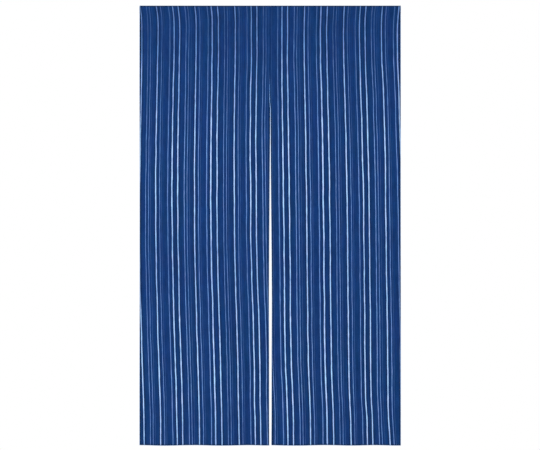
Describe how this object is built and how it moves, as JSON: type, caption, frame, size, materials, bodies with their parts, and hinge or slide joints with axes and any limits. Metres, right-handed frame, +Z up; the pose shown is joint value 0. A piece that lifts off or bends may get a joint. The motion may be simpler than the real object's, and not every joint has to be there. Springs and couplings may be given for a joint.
{
  "type": "noren curtain",
  "caption": "Long indigo cotton noren: a striped doorway curtain of panels sewn together at the top and parted by a slit below, with a rod pocket along its top edge.",
  "frame": {"origin": "middle of the rod pocket's crest, the top edge by which the curtain is held up", "axes": "+Z up, along the drop of the cloth; +X to the right of someone who looks at the front; the front faces -Y"},
  "size_m": [0.8901, 0.0184, 1.5],
  "materials": {
    "indigo_stripe": "matte plain-woven cotton, indigo with pale blue warp stripes"
  },
  "bodies": {
    "root": {"rod_pocket": "indigo_stripe", "left_panel": "indigo_stripe", "right_panel": "indigo_stripe"}
  },
  "joints": []
}
